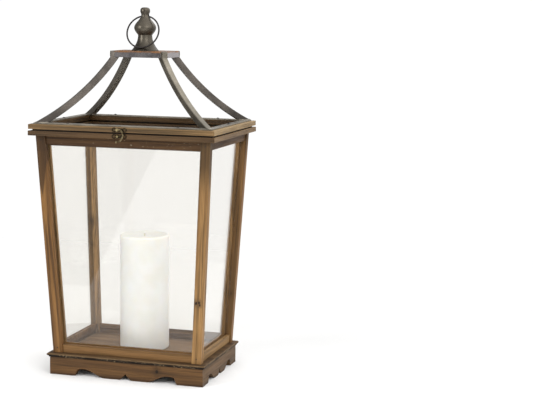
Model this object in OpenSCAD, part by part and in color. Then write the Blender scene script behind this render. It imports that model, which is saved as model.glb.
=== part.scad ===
// Hurricane candle lantern: a glazed wooden case that leans outward on all four sides,
// a hinged lid with an open roof of curved iron bars, a turned finial with a carrying ring,
// and a pillar candle. +X is along the long side, -Y is the front with the latch, +Z is up.
// The origin is the centre of the footprint, on the surface the lantern stands on.

/* [Base] */
// Length of the skirt along the long side
base_w = 330; // [310:1:336]
// Depth of the skirt from front to back
base_d = 220; // [200:1:226]
// Height of the scalloped skirt
skirt_h = 36.5; // [30:0.5:45]
// Thickness of the skirt boards
skirt_t = 12; // [8:1:16]
// Thickness of the base board, which is also the inside floor
board_t = 8.5; // [7:0.5:12]
// How far the rounded edge of the base board stands out over the skirt
board_over = 5; // [3:0.5:8]

/* [Case] */
// Width across the posts at the foot of the case
case_w = 319; // [300:1:322]
// Depth across the posts at the foot of the case
case_d = 209; // [190:1:212]
// Height of the posts, from the base board to the rim
case_h = 447; // [350:1:500]
// How far the sides lean outward, in degrees
lean = 3.1; // [2:0.1:3.4]
// Width of a post on the long side
post_w = 20; // [16:1:26]
// Width of a post on the short side
post_t = 14; // [12:1:20]
// Height of the lower rails
lower_rail_h = 17; // [14:1:26]
// Height of the upper rails
upper_rail_h = 18; // [14:1:26]
// How far the rails sit back behind the faces of the posts
rail_back = 3; // [1:0.5:4]
// Thickness of the glass
glass_t = 3; // [2:0.5:4]
// How far the rebates in posts and rails cover the edges of the glass
glass_lap = 4; // [2:0.5:5]

/* [Rim and lid] */
// Length of the rim flange on top of the case
rim_w = 390.6; // [388:0.2:396]
// Depth of the rim flange
rim_d = 281; // [278:0.2:286]
// Thickness of the rim strips and of the lid strips
strip_t = 9.5; // [8:0.5:12]
// Gap between the rim and the lid, which the hinge leaves fill
lid_gap = 3.5; // [3.2:0.1:5]
// Width of the lid strips
lid_strip_w = 24; // [23:0.5:28]
// Distance of the hinges from the middle of the back
hinge_x = 110; // [70:1:130]

/* [Roof] */
// Width of the flat iron frame under the roof bars
strap_w = 14; // [10:0.5:14]
// Thickness of the flat iron frame
strap_t = 3; // [2:0.5:5]
// Distance from the lid's edge to the iron frame
strap_in = 8; // [6:0.5:9]
// Side of the square roof bars
bar = 13; // [10:0.5:14]
// Height of the roof, from the iron frame to the foot of the cap
roof_rise = 130; // [110:1:160]
// Radius of the hollow curve of the roof bars, on their upper side
bar_curve = 450; // [300:10:700]
// Length of the cap
cap_w = 122; // [110:1:130]
// Depth of the cap
cap_d = 86; // [80:1:92]
// Height of the cap
cap_h = 12.5; // [10:0.5:18]
// Thickness of the cap's sheet iron
cap_t = 2; // [1.5:0.5:3]

/* [Finial and ring] */
// Height of the finial
finial_h = 87.5; // [80:0.5:95]
// Radius of the carrying ring to the middle of its wire
ring_r = 33.9; // [32:0.1:36]
// Thickness of the ring's wire
ring_wire = 3.3; // [2.5:0.1:4]
// Forward lean of the ring where it rests on the foot of the finial, in degrees
ring_lean = 22; // [22:1:30]

/* [Candle] */
// Diameter of the candle
candle_dia = 101.6; // [70:0.2:104]
// Height of the candle
candle_h = 238; // [100:1:250]

/* [Hidden] */
$fn = 64;

// Heights, from the floor up
case_z = skirt_h + board_t;
rim_z = case_z + case_h;
seat_z = rim_z + strip_t;
lid_z = seat_z + lid_gap;
strap_z = lid_z + strip_t;
roof_z = strap_z + strap_t;
cap_z = roof_z + roof_rise;
cap_top = cap_z + cap_h;

// Sizes across the lid and roof
rim_strip_w = 32;
lid_inset = 0.5;
lid_w = rim_w - 2 * lid_inset;
lid_d = rim_d - 2 * lid_inset;
seat_in = 7;
seat_w = 10;
seat_play = 0.1;
strap_out_w = lid_w - 2 * strap_in;
strap_out_d = lid_d - 2 * strap_in;

// Colours
fir = "#a8824f";
dark_fir = "#5c4630";
iron = "#4a4640";
rust = "#8a5a34";
brass = "#8f7a4e";
wire = "#2e2a26";

// The glass sits in rebates, with a little room at its edges
glass_room = 0.5;
rebate = glass_lap + glass_room;

// ---- Leaning case: every side is a slab that leans outward from the base board ----

// Slab behind the front face of the case, from depth a to depth b
module front_slab(a, b) {
  translate([0, -case_d / 2, case_z]) rotate([lean, 0, 0])
    translate([-300, a, -60]) cube([600, b - a, case_h + 120]);
}

// The same slab behind any side: 0 front, 1 right, 2 back, 3 left
module side_slab(side, a, b) {
  shift = side % 2 == 0 ? 0 : (case_w - case_d) / 2;
  rotate([0, 0, 90 * side]) translate([0, -shift, 0]) front_slab(a, b);
}

// Level layer from height a to height b
module layer(a, b) {
  translate([-300, -300, a]) cube([600, 600, b - a]);
}

// Width of the posts that end a side: posts are wider on the long sides
function post_face(side) = side % 2 == 0 ? post_w : post_t;
deep = 600;

// Level stretch of one side, between the posts that end it
module between_posts(side, a, b, low, high, lap = 0) {
  ends = post_face(side);
  intersection() {
    side_slab(side, a, b);
    side_slab((side + 1) % 4, ends - lap, deep);
    side_slab((side + 3) % 4, ends - lap, deep);
    layer(low, high);
  }
}

nail_r = 0.9;
nail_head_r = 1.2;
nail_len = 9;

// Nails through the face of a post, at its top and foot
module nails_at(side_y, side_x, r, h) {
  for (up = [10, case_h - 9]) {
    along = case_w / 2 - post_w / 2 + up * tan(lean);
    out = case_d / 2 + up * tan(lean);
    translate([side_x * along, side_y * out, case_z + up])
      rotate([90 - side_y * lean, 0, 0]) rotate([side_y > 0 ? 180 : 0, 0, 0])
        translate([0, 0, -nail_len]) cylinder(r = r, h = nail_len + h);
  }
}

// Post where the side at side_y meets the side at side_x
module post(side_y, side_x) {
  face = side_y < 0 ? 0 : 2;
  end = side_x > 0 ? 1 : 3;
  color(fir) difference() {
    intersection() {
      side_slab(face, 0, post_t);
      side_slab(end, 0, post_w);
      layer(case_z, rim_z);
    }
    intersection() {
      side_slab(face, post_t - glass_t, post_t + 5);
      side_slab(end, post_w - rebate, post_w + 5);
    }
    nails_at(side_y, side_x, nail_r, 0);
  }
}
module post_front_left() { post(-1, -1); }
module post_front_right() { post(-1, 1); }
module post_back_left() { post(1, -1); }
module post_back_right() { post(1, 1); }

module post_nails() {
  color(wire) for (sy = [-1, 1], sx = [-1, 1]) {
    nails_at(sy, sx, nail_r, 0.2);
    intersection() {
      nails_at(sy, sx, nail_head_r, 0.35);
      side_slab(sy < 0 ? 0 : 2, -2, 0);
    }
  }
}

// Rails: set back behind the posts, rebated on the inside for the glass
module lower_rail(side) {
  top = case_z + lower_rail_h;
  color(fir) difference() {
    between_posts(side, rail_back, post_t, case_z, top);
    side_slab_layer(side, post_t - glass_t, post_t + 5, top - rebate, top + 5);
  }
}
module upper_rail(side) {
  low = rim_z - upper_rail_h;
  color(dark_fir) difference() {
    between_posts(side, rail_back, post_t, low, rim_z);
    side_slab_layer(side, post_t - glass_t, post_t + 5, low - 5, low + rebate);
  }
}
module side_slab_layer(side, a, b, low, high) {
  intersection() {
    side_slab(side, a, b);
    layer(low, high);
  }
}
module lower_rail_front() { lower_rail(0); }
module lower_rail_right() { lower_rail(1); }
module lower_rail_back() { lower_rail(2); }
module lower_rail_left() { lower_rail(3); }
module upper_rail_front() { upper_rail(0); }
module upper_rail_right() { upper_rail(1); }
module upper_rail_back() { upper_rail(2); }
module upper_rail_left() { upper_rail(3); }

// Panes: long panes lap behind the posts, short panes stand between them
module glass(side) {
  long = side % 2 == 0;
  color("#dfe8e6", 0.35) intersection() {
    side_slab(side, post_t - glass_t, post_t);
    side_slab((side + 1) % 4, long ? post_w - glass_lap : post_t + 0.3, deep);
    side_slab((side + 3) % 4, long ? post_w - glass_lap : post_t + 0.3, deep);
    layer(case_z + lower_rail_h - glass_lap, rim_z - upper_rail_h + glass_lap);
  }
}
module glass_front() { glass(0); }
module glass_right() { glass(1); }
module glass_back() { glass(2); }
module glass_left() { glass(3); }

// Beads that hold the panes from inside
bead_w = 3;
bead_t = 4;
corner_bead_d = 7;
bead_over = 3;

// A bead along the inside of one side, ending at the corner beads
module bead(side, low, high) {
  ends = side % 2 == 0 ? post_w + bead_w : post_t + corner_bead_d;
  intersection() {
    side_slab(side, post_t, post_t + bead_t);
    side_slab((side + 1) % 4, ends, deep);
    side_slab((side + 3) % 4, ends, deep);
    layer(low, high);
  }
}
module lower_beads() {
  top = case_z + lower_rail_h;
  color(fir) for (side = [0:3]) bead(side, top - 6, top + bead_over);
}
module upper_beads() {
  low = rim_z - upper_rail_h;
  color(dark_fir) for (side = [0:3]) bead(side, low - bead_over, low + 6);
}
module corner_beads() {
  color(fir) for (face = [0, 2], end = [1, 3]) intersection() {
    side_slab(face, post_t, post_t + corner_bead_d);
    side_slab(end, post_t, post_w + bead_w);
    layer(case_z, rim_z);
  }
}

// ---- Base: scalloped skirt, board with a rounded edge, glue blocks ----

foot_frac = 2 / 3;   // where the arch starts, as a share of the half length
arch_frac = 0.545;   // where the arch is highest
lobe_frac = 0.26;    // where the long curve meets the floor
notch_frac = 0.075;  // half width of the notch in the middle
arch_h = 15.5;
notch_h = 13;
edge_steps = 12;

// Lower edge of a skirt over half its length, from the middle to the foot
function long_curve(t) = (1 - cos(180 * t)) / 2;
function half_edge(half) = concat(
  [[0, notch_h], [0.4 * notch_frac * half, 0.55 * notch_h], [notch_frac * half, 0]],
  [for (i = [0:edge_steps]) let (t = i / edge_steps)
    [half * (lobe_frac + (arch_frac - lobe_frac) * t), arch_h * long_curve(t)]],
  [for (i = [1:6]) let (a = 15 * i)
    [half * (arch_frac + (foot_frac - 0.03 - arch_frac) * sin(a)), arch_h - 0.2 * arch_h * (1 - cos(a))]],
  [[foot_frac * half, 0]]);

module skirt_outline(half) {
  edge = half_edge(half);
  back = [for (i = [len(edge) - 1:-1:1]) [-edge[i][0], edge[i][1]]];
  polygon(concat(back, edge, [[half, 0], [half, skirt_h], [-half, skirt_h], [-half, 0]]));
}

// Skirt board along the front or back of a rectangle, mitred at both ends
module skirt(long, across) {
  intersection() {
    translate([0, -across / 2 + skirt_t, 0]) rotate([90, 0, 0])
      linear_extrude(skirt_t) skirt_outline(long / 2);
    mitre_prism(long, across, skirt_t, 0, skirt_h);
  }
}

// Wedge-ended strip along the front of a rectangle, from height z up
module mitre_prism(long, across, w, z, h) {
  translate([0, 0, z]) linear_extrude(h) polygon([
    [-long / 2, -across / 2], [long / 2, -across / 2],
    [long / 2 - w, -across / 2 + w], [-long / 2 + w, -across / 2 + w]]);
}
module skirt_front() { color(dark_fir) skirt(base_w, base_d); }
module skirt_back() { color(dark_fir) rotate([0, 0, 180]) skirt(base_w, base_d); }
module skirt_left() { color(dark_fir) rotate([0, 0, -90]) skirt(base_d, base_w); }
module skirt_right() { color(dark_fir) rotate([0, 0, 90]) skirt(base_d, base_w); }

// Edge of the base board across one direction: a round nose over a small step
nose_t = 6;
step_over = 1.8;
module board_profile(across) {
  low = board_t - nose_t;
  translate([-across / 2 - step_over, 0]) square([across + 2 * step_over, board_t]);
  nose_r = nose_t / 2;
  translate([-across / 2 - board_over + nose_r, low])
    square([across + 2 * board_over - nose_t, nose_t]);
  for (s = [-1, 1]) translate([s * (across / 2 + board_over - nose_r), low + nose_r])
    circle(r = nose_r);
}
module base_board() {
  color(fir) translate([0, 0, skirt_h]) intersection() {
    translate([0, base_d, 0]) rotate([90, 0, 0]) linear_extrude(2 * base_d) board_profile(base_w);
    translate([-base_w, 0, 0]) rotate([90, 0, 90]) linear_extrude(2 * base_w) board_profile(base_d);
  }
}

block_side = 22;
block_h = 26;
module corner_blocks() {
  color(dark_fir) for (sx = [-1, 1], sy = [-1, 1])
    translate([sx * (base_w / 2 - skirt_t - block_side / 2), sy * (base_d / 2 - skirt_t - block_side / 2),
      skirt_h - block_h / 2]) cube([block_side, block_side, block_h], center = true);
}

// ---- Rim and lid frames: four mitred strips each ----

screw_r = 1.4;
screw_len = 7;
head_r = 2.6;
head_t = 0.9;

// Holes or screws of both hinges: up is 1 into the lid, -1 into the rim
leaf_t = 1.4;
leaf_half = 20;
leaf_in = 18;
screw_x = [-13, 13];
module hinge_screws_at(up, r = screw_r) {
  face = up > 0 ? lid_z : seat_z;
  for (sx = [-1, 1], dx = screw_x)
    translate([sx * hinge_x + dx, rim_d / 2 - leaf_in + 7, face])
      rotate([up > 0 ? 0 : 180, 0, 0]) cylinder(r = r, h = screw_len);
}

module rim_strip(side) {
  long = side % 2 == 0 ? rim_w : rim_d;
  across = side % 2 == 0 ? rim_d : rim_w;
  rotate([0, 0, 90 * side]) mitre_prism(long, across, rim_strip_w, rim_z, strip_t);
}
module lid_strip(side) {
  long = side % 2 == 0 ? lid_w : lid_d;
  across = side % 2 == 0 ? lid_d : lid_w;
  color(dark_fir) difference() {
    rotate([0, 0, 90 * side]) mitre_prism(long, across, lid_strip_w, lid_z, strip_t);
    tacks_at(tack_shank_r);
    if (side == 2) hinge_screws_at(1);
    if (side == 0) latch_rivet_at(lid_plate_z, rivet_r);
  }
}
module rim_front() {
  color(dark_fir) difference() {
    rim_strip(0);
    latch_rivet_at(keeper_z, rivet_r);
  }
}
module rim_back() {
  color(dark_fir) difference() {
    rim_strip(2);
    hinge_screws_at(-1);
  }
}
module rim_left() { color(dark_fir) rim_strip(3); }
module rim_right() { color(dark_fir) rim_strip(1); }
module lid_front() { lid_strip(0); }
module lid_right() { lid_strip(1); }
module lid_back() { lid_strip(2); }
module lid_left() { lid_strip(3); }

// Thin seat between rim and lid, cut away round the hinge leaves
module lid_seat() {
  long = rim_w - 2 * seat_in;
  across = rim_d - 2 * seat_in;
  color(wire) difference() {
    for (side = [0:3]) rotate([0, 0, 90 * side])
      mitre_prism(side % 2 == 0 ? long : across, side % 2 == 0 ? across : long, seat_w,
        seat_z, lid_gap - seat_play);
    for (sx = [-1, 1]) translate([sx * hinge_x - leaf_half - 1, rim_d / 2 - leaf_in - 1, seat_z - 1])
      cube([2 * leaf_half + 2, 40, 10]);
  }
}

// ---- Hinges at the back: leaves lie flat in the gap, the pin stands just behind it ----

pin_r = 1.2;
pin_play = 0.05;
knuckle_r = 2.6;
knuckle_gap = 0.2;
knuckle_in = 7;
leaf_edge = 0.3;
hinge_y = rim_d / 2 + knuckle_r + leaf_edge;
hinge_z = (seat_z + lid_z) / 2;

// A knuckle and the tongue that joins it to its leaf, from x = a to x = b
module knuckle(a, b, leaf_low) {
  translate([a, 0, hinge_z]) rotate([0, 90, 0]) cylinder(r = knuckle_r, h = b - a);
  translate([a, -knuckle_r - leaf_edge - 1, leaf_low])
    cube([b - a, knuckle_r + leaf_edge + 1, leaf_t]);
}
module hinge_leaf(sx, up) {
  leaf_low = up > 0 ? lid_z - leaf_t : seat_z;
  color(brass) difference() {
    union() {
      translate([sx * hinge_x - leaf_half, rim_d / 2 - leaf_in, leaf_low])
        cube([2 * leaf_half, leaf_in, leaf_t]);
      translate([sx * hinge_x, hinge_y, 0]) {
        if (up > 0) knuckle(knuckle_gap - knuckle_in, knuckle_in - knuckle_gap, leaf_low);
        else for (s = [0, 1]) mirror([s, 0, 0]) knuckle(knuckle_in, leaf_half, leaf_low);
      }
    }
    translate([sx * hinge_x - 30, hinge_y, hinge_z]) rotate([0, 90, 0])
      cylinder(r = pin_r + pin_play, h = 60);
    for (dx = screw_x) translate([sx * hinge_x + dx, rim_d / 2 - leaf_in + 7, leaf_low - 1]) {
      cylinder(r = screw_r, h = leaf_t + 2);
      translate([0, 0, up > 0 ? 1 : 1 + leaf_t - head_t]) translate([0, 0, up > 0 ? -1 : 0])
        cylinder(r = head_r, h = head_t + 1);
    }
  }
}
module hinge_leaf_case_left() { hinge_leaf(-1, -1); }
module hinge_leaf_case_right() { hinge_leaf(1, -1); }
module hinge_leaf_lid_left() { hinge_leaf(-1, 1); }
module hinge_leaf_lid_right() { hinge_leaf(1, 1); }

module hinge_pins() {
  color(brass) for (sx = [-1, 1])
    translate([sx * hinge_x - leaf_half - 0.5, hinge_y, hinge_z]) rotate([0, 90, 0])
      cylinder(r = pin_r, h = 2 * leaf_half + 1);
}

// Screws with flat heads sunk into the leaves
module hinge_screws(up) {
  color(brass) {
    hinge_screws_at(up);
    for (sx = [-1, 1], dx = screw_x) translate([sx * hinge_x + dx, rim_d / 2 - leaf_in + 7, 0]) {
      low = up > 0 ? lid_z - leaf_t : seat_z;
      translate([0, 0, low]) cylinder(r = screw_r, h = leaf_t);
      translate([0, 0, up > 0 ? low : low + leaf_t - head_t]) cylinder(r = head_r, h = head_t);
    }
  }
}
module hinge_screws_case() { hinge_screws(-1); }
module hinge_screws_lid() { hinge_screws(1); }

// ---- Latch at the front: a curved hook on the lid that closes round a rivet on the rim ----

latch_x = -4;
lid_plate_z = lid_z + 5;
keeper_z = rim_z + 5;
plate_w = 31;
plate_t = 1.2;
plate_hole_r = 2.6;
rivet_r = 1.5;
rivet_in = 7;
hook_t = 1.6;
hook_play = 0.2;
rim_face = -rim_d / 2;
lid_face = -lid_d / 2;
hook_y = rim_face - plate_t - hook_play;

// Bow-shaped plate: two round lobes joined by a narrow waist, with a hole in each lobe
module bow_plate(z, face) {
  lobe_r = 4.5;
  lobe_x = plate_w / 2 - lobe_r;
  translate([0, face, z]) rotate([90, 0, 0]) linear_extrude(plate_t) difference() {
    union() {
      for (s = [-1, 1]) translate([s * lobe_x, 0]) circle(r = lobe_r);
      square([2 * lobe_x, 6], center = true);
      translate([latch_x, 0]) circle(r = 4);
    }
    for (s = [-1, 1]) translate([s * lobe_x, 0]) circle(r = plate_hole_r);
    translate([latch_x, 0]) circle(r = rivet_r);
  }
}

// Shank of the rivet at height z, from in front of the hook into the wood
module latch_rivet_at(z, r) {
  translate([latch_x, rim_face + rivet_in, z]) rotate([90, 0, 0]) cylinder(r = r, h = rivet_in + 5);
}
module rivet(z, shank_end, dome_r) {
  len = rim_face + rivet_in - shank_end;
  translate([latch_x, rim_face + rivet_in, z]) rotate([90, 0, 0]) cylinder(r = rivet_r, h = len);
  translate([latch_x, shank_end, z]) rotate([90, 0, 0]) {
    cylinder(r = dome_r, h = 0.6);
    translate([0, 0, 0.6]) intersection() {
      translate([0, 0, -dome_r * 0.8]) sphere(r = dome_r * 1.28);
      cylinder(r = dome_r, h = 2);
    }
  }
}
module latch_keeper_plate() { color(brass) bow_plate(keeper_z, rim_face); }
module latch_lid_plate() { color(brass) bow_plate(lid_plate_z, lid_face); }
module latch_keeper_rivet() { color(brass) rivet(keeper_z, rim_face - plate_t - 0.8, 2.4); }
module latch_pivot_rivet() { color(brass) rivet(lid_plate_z, hook_y - hook_t - hook_play, 2.6); }

// Hook: an eye on the pivot, an arm that bows out round the keeper rivet, and a ball end.
// The arm is a wide lower arc and a tighter upper arc that meet at join_turn and share a
// direction there; the upper arc's radius makes it end at the pivot.
hook_w = 3.2;
eye_r = 3.6;
ball_r = 2.4;
bow = [-1.3, -10];
bow_r = 13.6;
bow_end = -82;
join_turn = 25;
join_dir = [cos(join_turn), sin(join_turn)];
join_at = bow + bow_r * join_dir;
crook_r = join_at * join_at / (2 * join_at * join_dir);
crook = join_at - crook_r * join_dir;
module hook_arc(middle, r, from, to) {
  translate([middle[0], 0, middle[1]]) rotate([90, 0, 0]) rotate([0, 0, from])
    rotate_extrude(angle = to - from, $fn = 120) translate([r - hook_w / 2, 0])
      square([hook_w, hook_t]);
}
module latch_hook() {
  color(brass) translate([latch_x, hook_y, lid_plate_z]) difference() {
    union() {
      rotate([90, 0, 0]) cylinder(r = eye_r, h = hook_t);
      hook_arc(bow, bow_r, bow_end, join_turn + 1);
      hook_arc(crook, crook_r, join_turn, atan2(-crook[1], -crook[0]));
      translate([bow[0] + bow_r * cos(bow_end) - 0.8, -ball_r, bow[1] + bow_r * sin(bow_end)])
        sphere(r = ball_r);
    }
    translate([0, 5, 0]) rotate([90, 0, 0]) cylinder(r = rivet_r + pin_play, h = 10);
  }
}

// ---- Roof: flat frame, curved bars, folded cap ----

tack_shank_r = 1.2;
tack_head_r = 3;
tack_len = 8;
tack_x = 0.62;
tack_spots = concat(
  [for (sx = [-1, 1], sy = [-1, 1]) [sx * tack_x * strap_out_w / 2, sy * (strap_out_d - strap_w) / 2]],
  [for (sx = [-1, 1]) [sx * (strap_out_w - strap_w) / 2, 0]]);
module tacks_at(r) {
  for (p = tack_spots) translate([p[0], p[1], roof_z - tack_len]) cylinder(r = r, h = tack_len);
}
module roof_tacks() {
  color(wire) {
    tacks_at(tack_shank_r);
    for (p = tack_spots) translate([p[0], p[1], roof_z]) intersection() {
      translate([0, 0, 1.8 - 1.25 * tack_head_r]) sphere(r = 1.25 * tack_head_r);
      cylinder(r = tack_head_r, h = 3);
    }
  }
}
module roof_base_frame() {
  color(iron) difference() {
    for (side = [0:3]) rotate([0, 0, 90 * side])
      mitre_prism(side % 2 == 0 ? strap_out_w : strap_out_d, side % 2 == 0 ? strap_out_d : strap_out_w,
        strap_w, strap_z, strap_t);
    tacks_at(tack_shank_r);
  }
}

// A bar runs in the upright plane through its corner and the middle of the roof.
// out is the distance from the middle, measured along that plane.
diag = atan2(strap_out_d, strap_out_w);
corner_out = sqrt(strap_out_w * strap_out_w + strap_out_d * strap_out_d) / 2;
cap_corner_out = sqrt(cap_w * cap_w + cap_d * cap_d) / 2;
foot_out = corner_out - 4.5;
head_out = cap_corner_out - 3.6;
chord = sqrt(pow(foot_out - head_out, 2) + pow(roof_rise, 2));
rise_angle = atan2(roof_rise, foot_out - head_out);
half_turn = asin(chord / 2 / bar_curve);
centre_out = (foot_out + head_out) / 2 + bar_curve * cos(half_turn) * sin(rise_angle);
centre_z = (roof_z + cap_z) / 2 + bar_curve * cos(half_turn) * cos(rise_angle);
head_turn = 270 - rise_angle - half_turn;
overrun = 2;

// Cross-section of a bar, with broken corners; its sides stand in by slim from the bar's full width
bar_chamfer = 1.1;
bar_slim = 0.2;
module bar_section(slim = 0) {
  c = bar_chamfer;
  low = slim;
  high = bar - slim;
  polygon([[c, low], [bar - c, low], [bar, low + c], [bar, high - c], [bar - c, high], [c, high],
    [0, high - c], [0, low + c]]);
}
module bar_head(sx, sy) {
  rotate([0, 0, atan2(sy * strap_out_d, sx * strap_out_w)])
    translate([head_out - bar, -bar / 2, cap_z - 2.5]) linear_extrude(cap_h + 2.5) bar_section();
}
module roof_bar(sx, sy) {
  color(iron) union() {
    intersection() {
      rotate([0, 0, atan2(sy * strap_out_d, sx * strap_out_w)])
        translate([centre_out, 0, centre_z]) rotate([90, 0, 0])
          rotate([0, 0, head_turn - overrun])
            rotate_extrude(angle = 2 * half_turn + 2 * overrun, $fn = 360)
              translate([bar_curve, -bar / 2]) bar_section(bar_slim);
      translate([-strap_out_w / 2, -strap_out_d / 2, roof_z])
        cube([strap_out_w, strap_out_d, roof_rise + 1]);
    }
    bar_head(sx, sy);
  }
}
module roof_bar_front_left() { roof_bar(-1, -1); }
module roof_bar_front_right() { roof_bar(1, -1); }
module roof_bar_back_left() { roof_bar(-1, 1); }
module roof_bar_back_right() { roof_bar(1, 1); }

bolt_r = 3;
module roof_cap() {
  wall = 3;
  color(rust) difference() {
    translate([-cap_w / 2, -cap_d / 2, cap_z]) cube([cap_w, cap_d, cap_h]);
    translate([-cap_w / 2 + wall, -cap_d / 2 + wall, cap_z - 1])
      cube([cap_w - 2 * wall, cap_d - 2 * wall, cap_h - cap_t + 1]);
    for (sx = [-1, 1], sy = [-1, 1]) {
      rotate([0, 0, atan2(sy * strap_out_d, sx * strap_out_w)])
        translate([head_out - bar, -bar / 2, cap_z - 5]) cube([3 * bar, bar, cap_h + 10]);
    }
    cylinder(r = bolt_r, h = 2 * cap_top);
  }
}

// ---- Finial: turned foot, bulb, neck and knob; the ring hangs through the neck ----

pivot_up = 0.8 * finial_h;
pivot_z = cap_top + pivot_up;
hole_r = 3.3;

// Turned profile: a flared foot with a thin lip, a bulb, a slim neck and a knob
turned_h = 87.5;
lip_h = 1.2;
foot_top = 32;
bulb_mid = 46.5;
neck_mid = 72.5;
knob_mid = 79.5;
foot_r = 27.5;
groove_r = 14.4;
bulb_r = 22.3;
neck_r = 8;
knob_r = 10;
function share(z, a, b) = (z - a) / (b - a);
function finial_radius(z) =
  z <= foot_top ? groove_r + (foot_r - groove_r) * pow(1 - share(z, lip_h, foot_top), 2.1)
  : z <= bulb_mid ? groove_r + (bulb_r - groove_r) * sin(90 * share(z, foot_top, bulb_mid))
  : z <= neck_mid ? bulb_r + (neck_r - bulb_r) * long_curve(share(z, bulb_mid, neck_mid))
  : neck_r + (knob_r - neck_r) * long_curve(share(z, neck_mid, knob_mid));
finial_heights = concat(
  [for (i = [0:13]) lip_h + (foot_top - lip_h) * i / 14],
  [for (i = [0:11]) foot_top + (bulb_mid - foot_top) * i / 12],
  [for (i = [0:15]) bulb_mid + (neck_mid - bulb_mid) * i / 16],
  [for (i = [0:7]) neck_mid + (knob_mid - neck_mid) * i / 8]);
finial_shape = concat(
  [[0, 0], [foot_r, 0]],
  [for (z = finial_heights) [finial_radius(z), z]],
  [for (i = [0:9]) let (t = sin(9 * i))
    [knob_r * pow(1 - t * t * t, 1 / 3), knob_mid + (turned_h - knob_mid) * t]],
  [[0, turned_h]]);
module finial() {
  color(iron) difference() {
    translate([0, 0, cap_top]) scale(finial_h / turned_h)
      rotate_extrude() polygon(finial_shape);
    translate([-30, 0, pivot_z]) rotate([0, 90, 0]) cylinder(r = hole_r, h = 60);
    translate([0, 0, cap_top - 1]) cylinder(r = bolt_r, h = 21);
  }
}
module finial_bolt() {
  color(wire) {
    translate([0, 0, cap_top - cap_t]) cylinder(r = bolt_r, h = cap_t + 18);
    translate([0, 0, cap_top - cap_t - 4]) cylinder(r = 5.5, h = 4, $fn = 6);
  }
}
module ring_handle() {
  color(wire) translate([0, 0, pivot_z]) rotate([-ring_lean, 0, 0]) translate([0, 0, -ring_r])
    rotate([90, 0, 0]) rotate_extrude() translate([ring_r, 0]) circle(d = ring_wire, $fn = 32);
}

// ---- Candle: a pillar with soft edges and a shallow dish round the wick ----

candle_edge = 4;
dish_r = 43;
dish_deep = 4;
module candle() {
  r = candle_dia / 2;
  e = candle_edge;
  dish_ball = (dish_r * dish_r + dish_deep * dish_deep) / (2 * dish_deep);
  color("ivory") translate([0, 0, case_z]) difference() {
    rotate_extrude($fn = 96) {
      square([r - e, candle_h]);
      translate([0, e]) square([r, candle_h - 2 * e]);
      for (z = [e, candle_h - e]) translate([r - e, z]) circle(r = e);
    }
    translate([0, 0, candle_h - dish_deep + dish_ball]) sphere(r = dish_ball, $fn = 96);
    translate([0, 0, candle_h - 20]) cylinder(r = wick_r, h = 40);
  }
}
wick_r = 1.2;
module candle_wick() {
  color("white") translate([0, 0, case_z + candle_h - 20]) cylinder(r = wick_r, h = 22);
}

skirt_front();
skirt_back();
skirt_left();
skirt_right();
base_board();
corner_blocks();
post_front_left();
post_front_right();
post_back_left();
post_back_right();
lower_rail_front();
lower_rail_back();
lower_rail_left();
lower_rail_right();
upper_rail_front();
upper_rail_back();
upper_rail_left();
upper_rail_right();
glass_front();
glass_back();
glass_left();
glass_right();
lower_beads();
upper_beads();
corner_beads();
post_nails();
rim_front();
rim_back();
rim_left();
rim_right();
lid_seat();
hinge_leaf_case_left();
hinge_leaf_case_right();
hinge_pins();
hinge_screws_case();
latch_keeper_plate();
latch_keeper_rivet();
lid_front();
lid_back();
lid_left();
lid_right();
hinge_leaf_lid_left();
hinge_leaf_lid_right();
hinge_screws_lid();
latch_lid_plate();
latch_pivot_rivet();
roof_base_frame();
roof_tacks();
roof_bar_front_left();
roof_bar_front_right();
roof_bar_back_left();
roof_bar_back_right();
roof_cap();
finial();
finial_bolt();
latch_hook();
ring_handle();
candle();
candle_wick();
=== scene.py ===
"""Looks of the hurricane candle lantern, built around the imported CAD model. Metres, Z up."""

import math
import random

import bmesh
import bpy
from mathutils import Matrix, Vector, noise


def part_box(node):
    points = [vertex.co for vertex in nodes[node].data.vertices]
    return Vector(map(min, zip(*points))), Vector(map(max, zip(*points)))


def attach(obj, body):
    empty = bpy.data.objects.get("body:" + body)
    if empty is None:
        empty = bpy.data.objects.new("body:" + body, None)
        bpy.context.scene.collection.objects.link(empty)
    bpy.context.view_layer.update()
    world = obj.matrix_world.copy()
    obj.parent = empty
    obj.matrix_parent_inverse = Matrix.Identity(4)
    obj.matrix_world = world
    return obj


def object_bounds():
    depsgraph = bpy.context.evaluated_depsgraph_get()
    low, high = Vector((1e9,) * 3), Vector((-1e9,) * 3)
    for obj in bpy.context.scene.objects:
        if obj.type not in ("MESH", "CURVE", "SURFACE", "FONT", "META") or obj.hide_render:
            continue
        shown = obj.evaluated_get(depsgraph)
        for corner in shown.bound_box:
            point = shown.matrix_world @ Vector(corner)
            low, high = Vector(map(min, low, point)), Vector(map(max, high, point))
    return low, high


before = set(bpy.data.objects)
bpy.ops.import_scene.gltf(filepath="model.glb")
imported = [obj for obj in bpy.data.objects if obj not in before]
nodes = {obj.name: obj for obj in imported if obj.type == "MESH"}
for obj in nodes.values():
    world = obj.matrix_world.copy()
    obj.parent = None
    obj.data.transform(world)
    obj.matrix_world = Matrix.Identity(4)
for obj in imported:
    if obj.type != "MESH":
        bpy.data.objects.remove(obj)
cad_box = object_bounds()

MM = 0.001
SRGB_KNEE, SRGB_SLOPE = 10.31, 3294.6  # the straight foot of the sRGB curve, for values of 0..255
LEAN = math.radians(3.1)  # how far the case's sides lean outward
POST_LOW, POST_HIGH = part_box("post_front_left")
CASE_Z = POST_LOW.z
RANDOM = random.Random(41)


def srgb(r, g, b):
    """Linear colour of an sRGB colour given in 0..255."""
    return tuple(c / SRGB_SLOPE if c <= SRGB_KNEE else ((c / 255 + 0.055) / 1.055) ** 2.4 for c in (r, g, b))


def blend(a, b, share):
    """Colour that lies the given share of the way from a to b."""
    return tuple(x + (y - x) * share for x, y in zip(a, b))


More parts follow.
